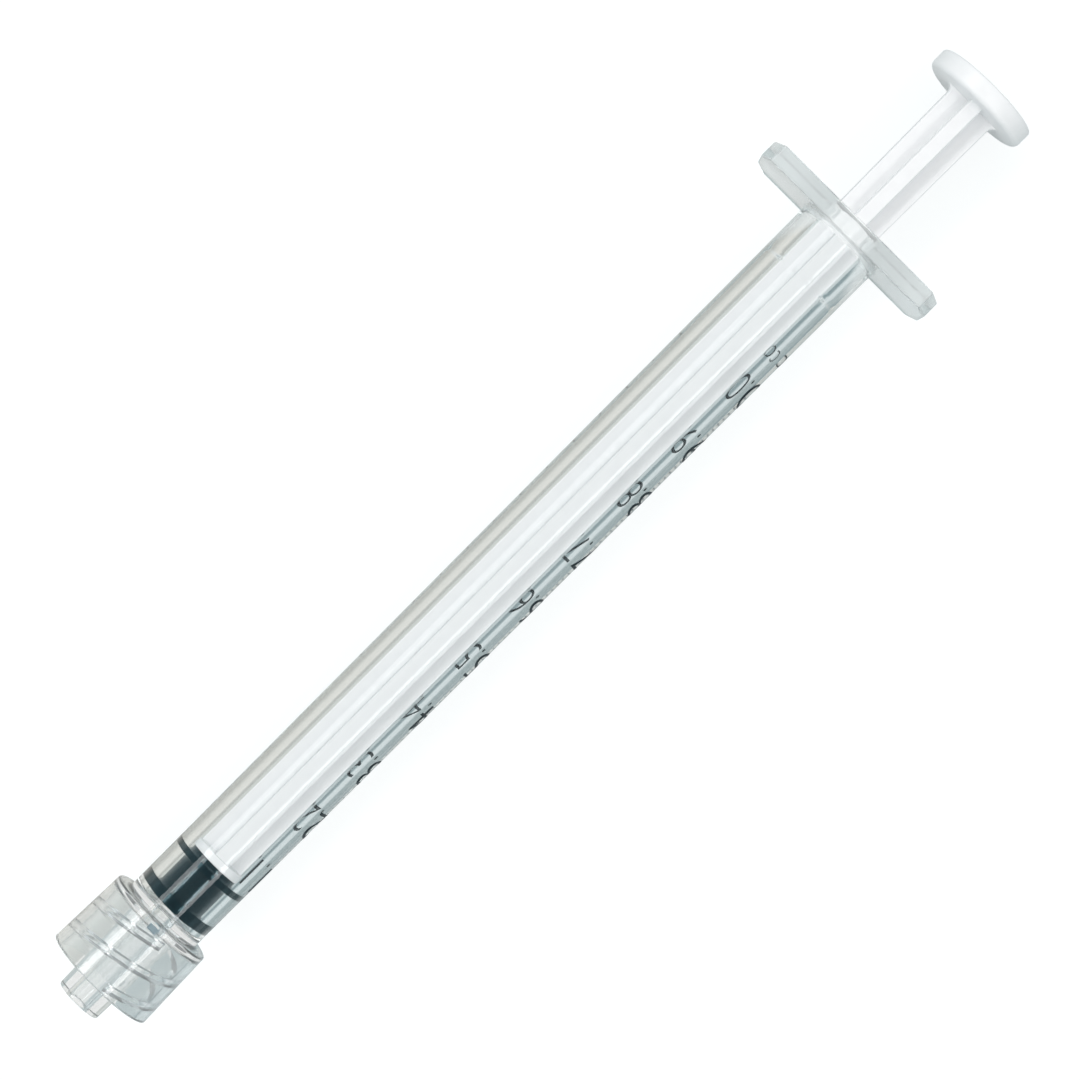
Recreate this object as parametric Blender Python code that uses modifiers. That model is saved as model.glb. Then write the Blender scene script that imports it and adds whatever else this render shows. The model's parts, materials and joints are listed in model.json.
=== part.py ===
"""A one-millilitre luer-lock syringe with its plunger pushed home, lying on its side.

The syringe lies along X with its luer tip towards -X and its thumb disc towards +X. It rests on the
rim of the luer collar and on one flat of the finger flange. The flange is a little deeper than the
collar, so the axis climbs towards the thumb by about half a degree. The long way of the flange is
along Y. The origin is under the middle of the syringe, on the surface that it lies on.

Three mouldings go together: the clear barrel, the rubber gasket that slides in its bore, and the
white plunger, whose round stud is snapped into the gasket and turns in it. Each is drawn upright,
with its axis along Z and the luer tip at the bottom, and an empty lays the set down.
"""

import math

import bmesh
import bpy

# Luer tip: a male cone, narrowest at its end, which grows by the taper for each metre of length.
TIP_END_DIAMETER = 0.00396
TIP_TAPER = 0.06
TIP_EDGE = 0.00012
TIP_PASSAGE_DIAMETER = 0.0015
TIP_PROJECTION = 0.00237

# Luer collar round the tip, with the ring-shaped socket that the female hub screws into.
COLLAR_RIM_DIAMETER = 0.00964
COLLAR_BACK_DIAMETER = 0.0092
COLLAR_LENGTH = 0.0069
COLLAR_BACK_EDGE = 0.00025
COLLAR_RIM_EDGE = 0.0001
SOCKET_DIAMETER = 0.008
SOCKET_DEPTH = 0.00623

# Two right-handed thread ridges inside the collar, half a turn apart.
THREAD_STARTS = 2
THREAD_LEAD = 0.005
THREAD_CREST_DIAMETER = 0.007
THREAD_ROOT_WIDTH = 0.0008
THREAD_CREST_WIDTH = 0.0004
THREAD_INSET = 0.00052
THREAD_SUNK = 0.0002
THREAD_TURN = math.radians(190.0)

# Barrel tube: a straight bore inside, and an outside that widens from the nose to the flange.
NOSE_WALL = 0.00135
NOSE_DIAMETER = 0.0069
NOSE_FILLET = 0.0003
TUBE_DIAMETER = 0.00745
BORE_DIAMETER = 0.00464
BORE_LENGTH = 0.07545
BORE_FLOOR_EDGE = 0.00015
BORE_MOUTH_EDGE = 0.0004

# Low bead round the bore that keeps the plunger from being pulled out.
BEAD_HEIGHT = 0.0001
BEAD_WIDTH = 0.0008
BEAD_BELOW_MOUTH = 0.0059

# Finger flange: a long octagon.
FLANGE_LENGTH = 0.0177
FLANGE_FLAT_LENGTH = 0.016
FLANGE_DEPTH = 0.011
FLANGE_END_WIDTH = 0.005
FLANGE_THICKNESS = 0.00165
FLANGE_EDGE = 0.0002
FLANGE_FILLET = 0.0004

# Rubber gasket: two sealing ribs on a narrower body, with a socket for the plunger's stud.
GASKET_FLOOR_GAP = 0.00042
GASKET_LENGTH = 0.0048
GASKET_BORE_CLEARANCE = 0.00005
GASKET_RIB_HEIGHT = 0.0001
GASKET_RIB_EDGE = 0.00012
FRONT_RIB_WIDTH = 0.00103
REAR_RIB_WIDTH = 0.0006
GASKET_TAIL_LENGTH = 0.00043

# Plunger: stud, front plate, cross-shaped rod and thumb disc.
STUD_NECK_DIAMETER = 0.0017
STUD_NECK_LENGTH = 0.0014
STUD_HEAD_DIAMETER = 0.0025
STUD_HEAD_LENGTH = 0.0004
STUD_POINT_DIAMETER = 0.0011
STUD_POINT_LENGTH = 0.0012
STUD_CLEARANCE = 0.00005
PLATE_SEAT_GAP = 0.00003
PLATE_BORE_CLEARANCE = 0.00006
PLATE_THICKNESS = 0.0007
PLATE_EDGE = 0.0001
ROD_LENGTH = 0.08244
ROD_FRONT_WIDTH = 0.00408
ROD_MOUTH_WIDTH = 0.00415
ROD_BACK_WIDTH = 0.00436
ROD_FLARE_LENGTH = 0.01294
ROD_RIB_THICKNESS = 0.0012
ROD_RIB_EDGE = 0.00012
ROD_FILLET = 0.0006
ROD_SUNK = 0.0003
DISC_DIAMETER = 0.0093
DISC_THICKNESS = 0.0017
DISC_TOP_EDGE = 0.0002
DISC_UNDER_EDGE = 0.0005
PLUNGER_TURN = math.radians(4.0)

# Fineness of the round shapes.
SEGMENTS = 48
ARC_STEPS = 3
MERGE_DISTANCE = 0.000001
SHARP_ANGLE = math.radians(30.0)
OVERSHOOT = 0.0005

# Places along the syringe, counted from the end of the luer tip.
COLLAR_RIM = TIP_PROJECTION
COLLAR_BACK = COLLAR_RIM + COLLAR_LENGTH
SOCKET_FLOOR = COLLAR_RIM + SOCKET_DEPTH
BORE_FLOOR = SOCKET_FLOOR + NOSE_WALL
BORE_MOUTH = BORE_FLOOR + BORE_LENGTH
FLANGE_UNDERSIDE = BORE_MOUTH - FLANGE_THICKNESS
BEAD_CENTRE = BORE_MOUTH - BEAD_BELOW_MOUTH
GASKET_FRONT = BORE_FLOOR + GASKET_FLOOR_GAP
PLATE_FRONT = GASKET_FRONT + GASKET_LENGTH + PLATE_SEAT_GAP
DISC_UNDERSIDE = PLATE_FRONT + PLATE_THICKNESS + ROD_LENGTH
SYRINGE_LENGTH = DISC_UNDERSIDE + DISC_THICKNESS

# Sizes that follow from others.
BORE_RADIUS = BORE_DIAMETER / 2.0
GASKET_RIB_RADIUS = BORE_RADIUS - GASKET_BORE_CLEARANCE
GASKET_BODY_RADIUS = GASKET_RIB_RADIUS - GASKET_RIB_HEIGHT
PLATE_RADIUS = BORE_RADIUS - PLATE_BORE_CLEARANCE
TIP_RADIUS = TIP_END_DIAMETER / 2.0
DISC_RADIUS = DISC_DIAMETER / 2.0
RIM_RADIUS = COLLAR_RIM_DIAMETER / 2.0


def clear_scene():
    """Remove every object that the file holds."""
    for old in list(bpy.data.objects):
        bpy.data.objects.remove(old, do_unlink=True)


def new_collection(name):
    collection = bpy.data.collections.new(name)
    bpy.context.scene.collection.children.link(collection)
    return collection


def moulding_material(name, colour, roughness, transmission=0.0, ior=1.45):
    """Plain Principled material for one moulding; none of them is metal."""
    material = bpy.data.materials.new(name)
    material.use_nodes = True
    shader = material.node_tree.nodes["Principled BSDF"]
    shader.inputs["Base Color"].default_value = (*colour, 1.0)
    shader.inputs["Metallic"].default_value = 0.0
    shader.inputs["Roughness"].default_value = roughness
    shader.inputs["Transmission Weight"].default_value = transmission
    shader.inputs["IOR"].default_value = ior
    material.diffuse_color = (*colour, 1.0)
    return material


def arc(centre, radius, start, end, steps=ARC_STEPS):
    """Points of an arc in the plane of a profile, with its angles in degrees from the radial direction."""
    points = []
    for step in range(steps + 1):
        angle = math.radians(start + (end - start) * step / steps)
        points.append((centre[0] + radius * math.cos(angle), centre[1] + radius * math.sin(angle)))
    return points


def place(obj, collection, parent, height=0.0, turn=0.0):
    """Put an object on the syringe's axis, at a height above the end of the luer tip."""
    collection.objects.link(obj)
    obj.parent = parent
    obj.location = (0.0, 0.0, height)
    obj.rotation_euler = (0.0, 0.0, turn)
    return obj


def turned(name, profile, closed=False, angle=2.0 * math.pi, climb=0.0, steps=SEGMENTS):
    """Turn a profile of (radius, height) points about Z. It runs from the top down its outer side."""
    mesh = bpy.data.meshes.new(name)
    shape = bmesh.new()
    points = [shape.verts.new((radius, 0.0, height)) for radius, height in profile]
    for first, second in zip(points, points[1:]):
        shape.edges.new((first, second))
    if closed:
        shape.edges.new((points[-1], points[0]))
    shape.to_mesh(mesh)
    shape.free()
    obj = bpy.data.objects.new(name, mesh)
    screw = obj.modifiers.new("Turn", "SCREW")
    screw.axis = "Z"
    screw.angle = angle
    screw.screw_offset = climb
    screw.steps = steps
    screw.render_steps = steps
    screw.use_merge_vertices = climb == 0.0
    screw.merge_threshold = MERGE_DISTANCE
    return obj


def as_mesh(obj, fill_ends=False):
    """The evaluated shape of a loose object as a plain mesh object of the same name, welded and closed."""
    bpy.context.scene.collection.objects.link(obj)
    bpy.context.view_layer.update()
    evaluated = obj.evaluated_get(bpy.context.evaluated_depsgraph_get())
    mesh = bpy.data.meshes.new_from_object(evaluated)
    world = obj.matrix_world.copy()
    name = obj.name
    bpy.data.objects.remove(obj, do_unlink=True)
    shape = bmesh.new()
    shape.from_mesh(mesh)
    bmesh.ops.remove_doubles(shape, verts=shape.verts, dist=MERGE_DISTANCE)
    if fill_ends:
        bmesh.ops.holes_fill(shape, edges=[edge for edge in shape.edges if edge.is_boundary])
    bmesh.ops.recalc_face_normals(shape, faces=shape.faces)
    shape.to_mesh(mesh)
    shape.free()
    solid = bpy.data.objects.new(name, mesh)
    solid.matrix_world = world
    return solid


def plate(name, outline, thickness):
    """A flat plate with the given outline in XY, half its thickness above and half below."""
    curve = bpy.data.curves.new(name, "CURVE")
    curve.dimensions = "2D"
    curve.fill_mode = "BOTH"
    curve.extrude = thickness / 2.0
    spline = curve.splines.new("POLY")
    spline.points.add(len(outline) - 1)
    for point, (x, y) in zip(spline.points, outline):
        point.co = (x, y, 0.0, 1.0)
    spline.use_cyclic_u = True
    return as_mesh(bpy.data.objects.new(name, curve))


def rounded(obj, width, segments=2):
    """Round the edges that turn by more than the sharp angle."""
    bevel = obj.modifiers.new("Edges", "BEVEL")
    bevel.limit_method = "ANGLE"
    bevel.angle_limit = SHARP_ANGLE
    bevel.width = width
    bevel.segments = segments
    return obj


def combine(obj, tool, operation):
    """Join a tool to an object, or cut it away. The tool stays in the file as a wire shape."""
    tool.hide_render = True
    tool.display_type = "WIRE"
    boolean = obj.modifiers.new(tool.name, "BOOLEAN")
    boolean.operation = operation
    boolean.solver = "EXACT"
    boolean.object = tool


def finished(obj, material):
    """Fix the shape that the modifiers give, and shade it smooth between its sharp edges."""
    bpy.context.view_layer.update()
    evaluated = obj.evaluated_get(bpy.context.evaluated_depsgraph_get())
    mesh = bpy.data.meshes.new_from_object(evaluated)
    mesh.name = obj.name
    obj.modifiers.clear()
    obj.data = mesh
    mesh.materials.clear()
    mesh.materials.append(material)
    mesh.shade_smooth()
    mesh.set_sharp_from_angle(angle=SHARP_ANGLE)
    return obj


def barrel_outside():
    """Outer form of the barrel below the flange, with the luer collar and the cone inside it."""
    tube_radius = TUBE_DIAMETER / 2.0
    nose_radius = NOSE_DIAMETER / 2.0
    back_radius = COLLAR_BACK_DIAMETER / 2.0
    socket_radius = SOCKET_DIAMETER / 2.0
    cone_base_radius = TIP_RADIUS + TIP_TAPER * SOCKET_FLOOR / 2.0
    fillet_top = FLANGE_UNDERSIDE + FLANGE_EDGE / 4.0
    profile = [(0.0, FLANGE_UNDERSIDE + FLANGE_THICKNESS / 2.0)]
    profile += [(tube_radius + FLANGE_FILLET, FLANGE_UNDERSIDE + FLANGE_THICKNESS / 2.0)]
    profile += arc((tube_radius + FLANGE_FILLET, fillet_top - FLANGE_FILLET), FLANGE_FILLET, 90.0, 180.0)
    profile += arc((nose_radius + NOSE_FILLET, COLLAR_BACK + NOSE_FILLET), NOSE_FILLET, 180.0, 270.0)
    profile += [(back_radius - COLLAR_BACK_EDGE, COLLAR_BACK)]
    profile += [(back_radius, COLLAR_BACK - COLLAR_BACK_EDGE)]
    profile += [(RIM_RADIUS, COLLAR_RIM + COLLAR_RIM_EDGE)]
    profile += [(RIM_RADIUS - COLLAR_RIM_EDGE, COLLAR_RIM)]
    profile += [(socket_radius + COLLAR_RIM_EDGE, COLLAR_RIM)]
    profile += [(socket_radius, COLLAR_RIM + COLLAR_RIM_EDGE)]
    profile += [(socket_radius, SOCKET_FLOOR)]
    profile += [(cone_base_radius, SOCKET_FLOOR)]
    profile += [(TIP_RADIUS + TIP_TAPER * TIP_EDGE / 2.0, TIP_EDGE)]
    profile += [(TIP_RADIUS - TIP_EDGE, 0.0)]
    profile += [(0.0, 0.0)]
    return turned("barrel", profile)


def barrel_bore():
    """Everything that the fluid and the plunger pass through: mouth, bead, bore and tip passage."""
    passage_radius = TIP_PASSAGE_DIAMETER / 2.0
    profile = [(0.0, BORE_MOUTH + OVERSHOOT)]
    profile += [(BORE_RADIUS + BORE_MOUTH_EDGE + OVERSHOOT, BORE_MOUTH + OVERSHOOT)]
    profile += [(BORE_RADIUS, BORE_MOUTH - BORE_MOUTH_EDGE)]
    profile += [(BORE_RADIUS, BEAD_CENTRE + BEAD_WIDTH / 2.0)]
    profile += [(BORE_RADIUS - BEAD_HEIGHT, BEAD_CENTRE)]
    profile += [(BORE_RADIUS, BEAD_CENTRE - BEAD_WIDTH / 2.0)]
    profile += [(BORE_RADIUS, BORE_FLOOR + BORE_FLOOR_EDGE)]
    profile += [(BORE_RADIUS - BORE_FLOOR_EDGE, BORE_FLOOR)]
    profile += [(passage_radius, BORE_FLOOR)]
    profile += [(passage_radius, -OVERSHOOT)]
    profile += [(0.0, -OVERSHOOT)]
    return turned("bore_cutter", profile)


def flange_plate():
    """Long octagon with softened edges."""
    flat = FLANGE_FLAT_LENGTH / 2.0
    end = FLANGE_LENGTH / 2.0
    half_depth = FLANGE_DEPTH / 2.0
    half_end = FLANGE_END_WIDTH / 2.0
    corner = [(half_depth, flat), (half_end, end)]
    outline = corner + [(-x, y) for x, y in reversed(corner)]
    outline += [(-x, -y) for x, y in corner] + [(x, -y) for x, y in reversed(corner)]
    return rounded(plate("flange_form", outline, FLANGE_THICKNESS), FLANGE_EDGE)


def thread_ridge(number):
    """One ridge of the collar's thread: a trapezium wound up a helix, with blunt ends."""
    socket_radius = SOCKET_DIAMETER / 2.0
    crest_radius = THREAD_CREST_DIAMETER / 2.0
    root_half = THREAD_ROOT_WIDTH / 2.0
    crest_half = THREAD_CREST_WIDTH / 2.0
    climb = SOCKET_DEPTH - 2.0 * THREAD_INSET
    sweep = 2.0 * math.pi * climb / THREAD_LEAD
    section = [(socket_radius + THREAD_SUNK, root_half), (socket_radius, root_half)]
    section += [(crest_radius, crest_half), (crest_radius, -crest_half)]
    section += [(socket_radius, -root_half), (socket_radius + THREAD_SUNK, -root_half)]
    steps = round(SEGMENTS * climb / THREAD_LEAD)
    name = f"thread_ridge_form_{number}"
    return as_mesh(turned(name, section, closed=True, angle=sweep, climb=climb, steps=steps), fill_ends=True)


def build_barrel(parts, cutters, axis):
    """Clear barrel: turned outside, flange and thread ridges in one, and the bore cut through them."""
    barrel = place(barrel_outside(), parts, axis)
    flange = place(flange_plate(), cutters, axis, height=FLANGE_UNDERSIDE + FLANGE_THICKNESS / 2.0)
    combine(barrel, flange, "UNION")
    for number in range(THREAD_STARTS):
        turn = THREAD_TURN + 2.0 * math.pi * number / THREAD_STARTS
        ridge = place(thread_ridge(number), cutters, axis, height=COLLAR_RIM + THREAD_INSET, turn=turn)
        combine(barrel, ridge, "UNION")
    combine(barrel, place(barrel_bore(), cutters, axis), "DIFFERENCE")
    clear = moulding_material("clear_polycarbonate", (0.86, 0.89, 0.91), 0.05, transmission=1.0, ior=1.585)
    return finished(barrel, clear)


def stud_profile(clearance=0.0):
    """Stud from its point to its root, as (radius, distance in front of the plate)."""
    neck = STUD_NECK_DIAMETER / 2.0 + clearance
    head = STUD_HEAD_DIAMETER / 2.0 + clearance
    point = STUD_POINT_DIAMETER / 2.0 + clearance
    head_back = STUD_NECK_LENGTH - clearance
    head_front = STUD_NECK_LENGTH + STUD_HEAD_LENGTH + clearance
    tip = STUD_NECK_LENGTH + STUD_HEAD_LENGTH + STUD_POINT_LENGTH + clearance
    return [(0.0, tip), (point, tip), (head, head_front), (head, head_back), (neck, head_back)]


def build_gasket(parts, axis):
    """Rubber gasket, with its front face at its origin."""
    back = GASKET_LENGTH
    rear_rib_back = back - GASKET_TAIL_LENGTH
    rear_rib_front = rear_rib_back - REAR_RIB_WIDTH
    plate_front = back + PLATE_SEAT_GAP
    socket = [(radius, plate_front - reach) for radius, reach in stud_profile(STUD_CLEARANCE)]
    profile = socket + [(STUD_NECK_DIAMETER / 2.0 + STUD_CLEARANCE, back)]
    profile += [(GASKET_BODY_RADIUS - GASKET_RIB_EDGE, back)]
    profile += [(GASKET_BODY_RADIUS, back - GASKET_RIB_EDGE)]
    profile += [(GASKET_BODY_RADIUS, rear_rib_back + GASKET_RIB_EDGE)]
    profile += [(GASKET_RIB_RADIUS, rear_rib_back)]
    profile += [(GASKET_RIB_RADIUS, rear_rib_front)]
    profile += [(GASKET_BODY_RADIUS, rear_rib_front - GASKET_RIB_EDGE)]
    profile += [(GASKET_BODY_RADIUS, FRONT_RIB_WIDTH + GASKET_RIB_EDGE)]
    profile += [(GASKET_RIB_RADIUS, FRONT_RIB_WIDTH)]
    profile += [(GASKET_RIB_RADIUS, GASKET_RIB_EDGE)]
    profile += [(GASKET_RIB_RADIUS - GASKET_RIB_EDGE, 0.0)]
    profile += [(0.0, 0.0)]
    gasket = place(turned("gasket", profile), parts, axis, height=GASKET_FRONT)
    rubber = moulding_material("black_bromobutyl_rubber", (0.02, 0.035, 0.04), 0.4, ior=1.52)
    return finished(gasket, rubber)


def plunger_front():
    """Front plate with the stud, turned. The plate's front face is at the origin."""
    neck = STUD_NECK_DIAMETER / 2.0
    profile = [(0.0, PLATE_THICKNESS)]
    profile += [(PLATE_RADIUS - PLATE_EDGE, PLATE_THICKNESS)]
    profile += [(PLATE_RADIUS, PLATE_THICKNESS - PLATE_EDGE)]
    profile += [(PLATE_RADIUS, PLATE_EDGE)]
    profile += [(PLATE_RADIUS - PLATE_EDGE, 0.0)]
    profile += [(neck, 0.0)]
    profile += [(radius, -reach) for radius, reach in reversed(stud_profile())]
    return turned("plunger", profile)


def thumb_disc():
    """Flat thumb disc. Its underside has the larger rounding."""
    underside = PLATE_THICKNESS + ROD_LENGTH
    top = underside + DISC_THICKNESS
    profile = [(0.0, top)]
    profile += arc((DISC_RADIUS - DISC_TOP_EDGE, top - DISC_TOP_EDGE), DISC_TOP_EDGE, 90.0, 0.0)
    profile += arc((DISC_RADIUS - DISC_UNDER_EDGE, underside + DISC_UNDER_EDGE), DISC_UNDER_EDGE, 0.0, -90.0)
    profile += [(0.0, underside)]
    return turned("thumb_disc_form", profile)


def rod_rib(number):
    """One rib of the rod: full width across the axis, widening past the barrel's mouth to the disc."""
    front = PLATE_THICKNESS - ROD_SUNK
    back = PLATE_THICKNESS + ROD_LENGTH
    flare = back - ROD_FLARE_LENGTH
    front_half = ROD_FRONT_WIDTH / 2.0
    back_half = ROD_BACK_WIDTH / 2.0
    side = [(front_half, front), (ROD_MOUTH_WIDTH / 2.0, flare), (back_half, back - ROD_FILLET)]
    side += arc((back_half + ROD_FILLET, back - ROD_FILLET), ROD_FILLET, 180.0, 90.0)[1:]
    side += [(back_half + ROD_FILLET, back + ROD_SUNK)]
    outline = side + [(-x, y) for x, y in reversed(side)]
    rib = plate(f"rod_rib_form_{number}", outline, ROD_RIB_THICKNESS)
    for vertex in rib.data.vertices:
        x, y, z = vertex.co
        vertex.co = (x, -z, y)
    return rounded(rib, ROD_RIB_EDGE, segments=1)


def build_plunger(parts, cutters, axis):
    """White plunger, turned a little about its axis."""
    height = PLATE_FRONT
    plunger = place(plunger_front(), parts, axis, height=height, turn=PLUNGER_TURN)
    for number in range(2):
        turn = PLUNGER_TURN + math.pi / 2.0 * number
        combine(plunger, place(rod_rib(number), cutters, axis, height=height, turn=turn), "UNION")
    disc = place(thumb_disc(), cutters, axis, height=height, turn=PLUNGER_TURN)
    combine(plunger, disc, "UNION")
    white = moulding_material("white_polypropylene", (0.90, 0.91, 0.92), 0.35, ior=1.49)
    return finished(plunger, white)


def rest_tilt():
    """How far the axis climbs towards the thumb, lying on the collar's rim and the next lowest edge."""
    rim = COLLAR_RIM + COLLAR_RIM_EDGE
    flange = (FLANGE_UNDERSIDE + FLANGE_EDGE, FLANGE_DEPTH / 2.0)
    disc = (DISC_UNDERSIDE + DISC_UNDER_EDGE, DISC_RADIUS)
    return max(math.atan2(radius - RIM_RADIUS, along - rim) for along, radius in (flange, disc))


def laid_down_axis():
    """Empty at the end of the luer tip, with its Z along the syringe and its X down."""
    tilt = rest_tilt()
    tip_reach = (TIP_RADIUS - TIP_EDGE) * math.sin(tilt)
    disc_reach = (DISC_RADIUS - DISC_TOP_EDGE) * math.sin(tilt)
    height = RIM_RADIUS * math.cos(tilt) - (COLLAR_RIM + COLLAR_RIM_EDGE) * math.sin(tilt)
    axis = bpy.data.objects.new("syringe_axis", None)
    axis.location = ((tip_reach - disc_reach - SYRINGE_LENGTH * math.cos(tilt)) / 2.0, 0.0, height)
    axis.rotation_euler = (0.0, math.pi / 2.0 - tilt, 0.0)
    return axis


def build_syringe():
    """The three mouldings on one axis, laid down with the tip towards -X."""
    clear_scene()
    parts = new_collection("ivf_syringe")
    cutters = new_collection("cutters")
    axis = laid_down_axis()
    parts.objects.link(axis)
    build_barrel(parts, cutters, axis)
    build_gasket(parts, axis)
    build_plunger(parts, cutters, axis)


build_syringe()
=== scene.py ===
"""A one-millilitre luer-lock syringe, dressed for a close studio picture.

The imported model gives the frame. Each moulding is modelled here again with finer edges, standing
upright on its own axis with the luer tip at the bottom, and is then laid down onto the place that
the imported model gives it. The clear barrel carries a printed scale.
"""

import json
import math
from collections import namedtuple

import bpy
from mathutils import Matrix, Vector


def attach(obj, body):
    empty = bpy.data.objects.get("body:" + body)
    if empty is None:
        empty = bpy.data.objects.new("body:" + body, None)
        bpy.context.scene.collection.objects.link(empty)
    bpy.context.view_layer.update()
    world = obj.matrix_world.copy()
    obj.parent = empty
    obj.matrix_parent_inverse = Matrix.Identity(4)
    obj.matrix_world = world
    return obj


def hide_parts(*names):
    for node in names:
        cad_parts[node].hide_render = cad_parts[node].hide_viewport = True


bl_info = {
    "name": "Luer-lock Syringe",
    "version": (1, 0, 0),
    "blender": (4, 5, 0),
    "location": "3D View > Sidebar > Syringe",
    "description": "Models a one-millilitre syringe with its printed scale, and a pale studio for it",
    "category": "Add Mesh",
}

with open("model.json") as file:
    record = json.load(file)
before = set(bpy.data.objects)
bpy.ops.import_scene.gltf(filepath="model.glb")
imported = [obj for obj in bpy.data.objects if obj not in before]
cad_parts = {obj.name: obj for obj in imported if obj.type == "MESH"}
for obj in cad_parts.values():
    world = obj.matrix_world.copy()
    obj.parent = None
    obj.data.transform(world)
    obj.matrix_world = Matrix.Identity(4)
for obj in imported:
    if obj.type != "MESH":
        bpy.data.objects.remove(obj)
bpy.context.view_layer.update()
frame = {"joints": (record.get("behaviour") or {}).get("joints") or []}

MM = 0.001
WELD = 0.000001
SHARP = math.radians(32.0)
ROUND_STEPS = 160
SMALL_ROUND_STEPS = 128

# How the mouldings sit in each other, and the plunger's turn in degrees.
PLATE_GAP = 0.03 * MM
STUD_ROOM = 0.05 * MM
PLATE_CLEARANCE = 0.06 * MM
RIB_PRESS = 0.008 * MM
PLUNGER_TURN = 4.0

FLANGE_EDGE = 0.2 * MM
# The flat that the mould's gate leaves on the collar.
GATE_ACROSS = -0.15 * MM
GATE_HEIGHT = 8.7 * MM
GATE_DEPTH = 0.14 * MM
GATE_REACH = 0.55 * MM
GATE_SKIN = 0.03 * MM

BarrelPlaces = namedtuple("BarrelPlaces", "collar_back socket_floor bore_floor mouth underside")


def linear(code):
    """Linear colour of an sRGB hex code such as DDE3E5."""
    shares = [int(code[place : place + 2], 16) / 255.0 for place in (0, 2, 4)]
    return tuple(v / 12.92 if v <= 0.04045 else ((v + 0.055) / 1.055) ** 2.4 for v in shares)


def length(name, description, default):
    """A length that the panel shows, given in millimetres."""
    return bpy.props.FloatProperty(
        name=name, description=description, default=default * MM, min=0.0, unit="LENGTH"
    )


def colour(name, description, code):
    """A colour that the panel shows, given as an sRGB hex code."""
    settings = {"default": linear(code), "size": 3, "min": 0.0, "max": 1.0, "subtype": "COLOR"}
    return bpy.props.FloatVectorProperty(name=name, description=description, **settings)


class BarrelSizes(bpy.types.PropertyGroup):
    """Sizes of the clear barrel with its luer tip, collar and finger flange."""

    tip_diameter: length("Tip", "Diameter at the end of the luer cone", 3.96)
    tip_projection: length("Tip projection", "How far the cone stands out of the collar", 2.37)
    passage_diameter: length("Passage", "Diameter of the hole through the cone", 1.5)
    collar_rim_diameter: length("Collar rim", "Diameter of the collar at its open rim", 9.64)
    collar_back_diameter: length("Collar back", "Diameter of the collar where it meets the tube", 9.2)
    collar_length: length("Collar length", "Length of the collar along the syringe", 6.9)
    socket_diameter: length("Socket", "Inside diameter of the collar", 8.0)
    socket_depth: length("Socket depth", "Depth of the ring round the cone", 6.23)
    tip_taper: bpy.props.FloatProperty(
        name="Taper", description="Growth of the cone's diameter along its length", default=0.06
    )
    thread_lead: length("Thread lead", "Climb of a ridge in one turn", 5.0)
    thread_crest_diameter: length("Thread crest", "Diameter inside the thread ridges", 7.0)
    nose_wall: length("Nose wall", "Wall between the socket and the bore", 1.35)
    nose_diameter: length("Tube at the nose", "Outside diameter behind the collar", 6.9)
    tube_diameter: length("Tube at the flange", "Outside diameter under the flange", 7.45)
    bore_diameter: length("Bore", "Inside diameter of the tube", 4.64)
    bore_length: length("Bore length", "Depth of the bore from its mouth", 75.45)
    flange_length: length("Flange length", "Long way across the finger flange", 17.7)
    flange_flat: length("Flange flat", "Length of the flange's long straight sides", 16.0)
    flange_depth: length("Flange depth", "Short way across the finger flange", 11.0)
    flange_end: length("Flange end", "Width of the flat at each end of the flange", 5.0)
    flange_thickness: length("Flange thickness", "Thickness of the finger flange", 1.65)


class PlungerSizes(bpy.types.PropertyGroup):
    """Sizes of the rubber gasket and of the white plunger."""

    gasket_gap: length("Gasket gap", "Distance from the gasket to the floor of the bore", 0.42)
    gasket_length: length("Gasket length", "Length of the rubber gasket", 4.8)
    gasket_body_diameter: length("Gasket body", "Diameter between the sealing ribs", 4.34)
    front_rib: length("Front rib", "Width of the front sealing rib", 1.03)
    rear_rib: length("Rear rib", "Width of the rear sealing rib", 0.6)
    plate_thickness: length("Front plate", "Thickness of the plate behind the gasket", 0.7)
    rod_length: length("Rod", "Length of the cross-shaped rod", 82.44)
    rod_front: length("Rod at the front", "Width of the rod at the front plate", 4.08)
    rod_back: length("Rod at the back", "Width of the rod at the thumb disc", 4.36)
    rib_thickness: length("Rod rib", "Thickness of the rod's ribs", 1.2)
    disc_diameter: length("Thumb disc", "Diameter of the thumb disc", 9.3)
    disc_thickness: length("Disc thickness", "Thickness of the thumb disc", 1.7)


class ScaleSizes(bpy.types.PropertyGroup):
    """Sizes of the printed scale."""

    zero_place: length("Zero line", "Distance of the zero line from the end of the luer tip", 10.69)
    division: length("Division", "Distance between two neighbouring lines", 0.593)
    numeral_height: length("Numerals", "Height of the numerals, along the syringe", 2.8)
    line_width: length("Lines", "Width of the lines of the scale", 0.16)
    ink_thickness: length("Ink", "Thickness of the print, drawn thicker than real ink to show", 0.012)


class SyringeColours(bpy.types.PropertyGroup):
    """Colours of the mouldings, the print and the stage."""

    clear: colour("Clear plastic", "Tint of the barrel", "FAFCFC")
    frost: colour("Gate mark", "Tint of the frosted flat where the mould's gate was", "8C9FA8")
    white: colour("White plastic", "Colour of the plunger", "F7F8F9")
    rubber: colour("Rubber", "Colour of the gasket", "0B2027")
    ink: colour("Ink", "Colour of the printed scale", "182B32")
    table: colour("Table", "Colour of the table top", "888F90")
    fill_side: colour("Room, sides", "Colour of the room's light from the sides", "E6F8FB")
    fill_top: colour("Room, overhead", "Colour of the room's light from overhead", "FFF9F8")
    mirrored_side: colour("Mirrored sides", "Colour of the room's sides in gloss", "F7FDFF")
    mirrored_top: colour("Mirrored top", "Colour of the room overhead in gloss", "A8F4FF")


# ---- Modelling helpers ----


def alone(piece):
    """Make a piece the only one selected, and the active one."""
    bpy.ops.object.select_all(action="DESELECT")
    bpy.context.view_layer.objects.active = piece
    piece.select_set(True)
    return piece


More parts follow.
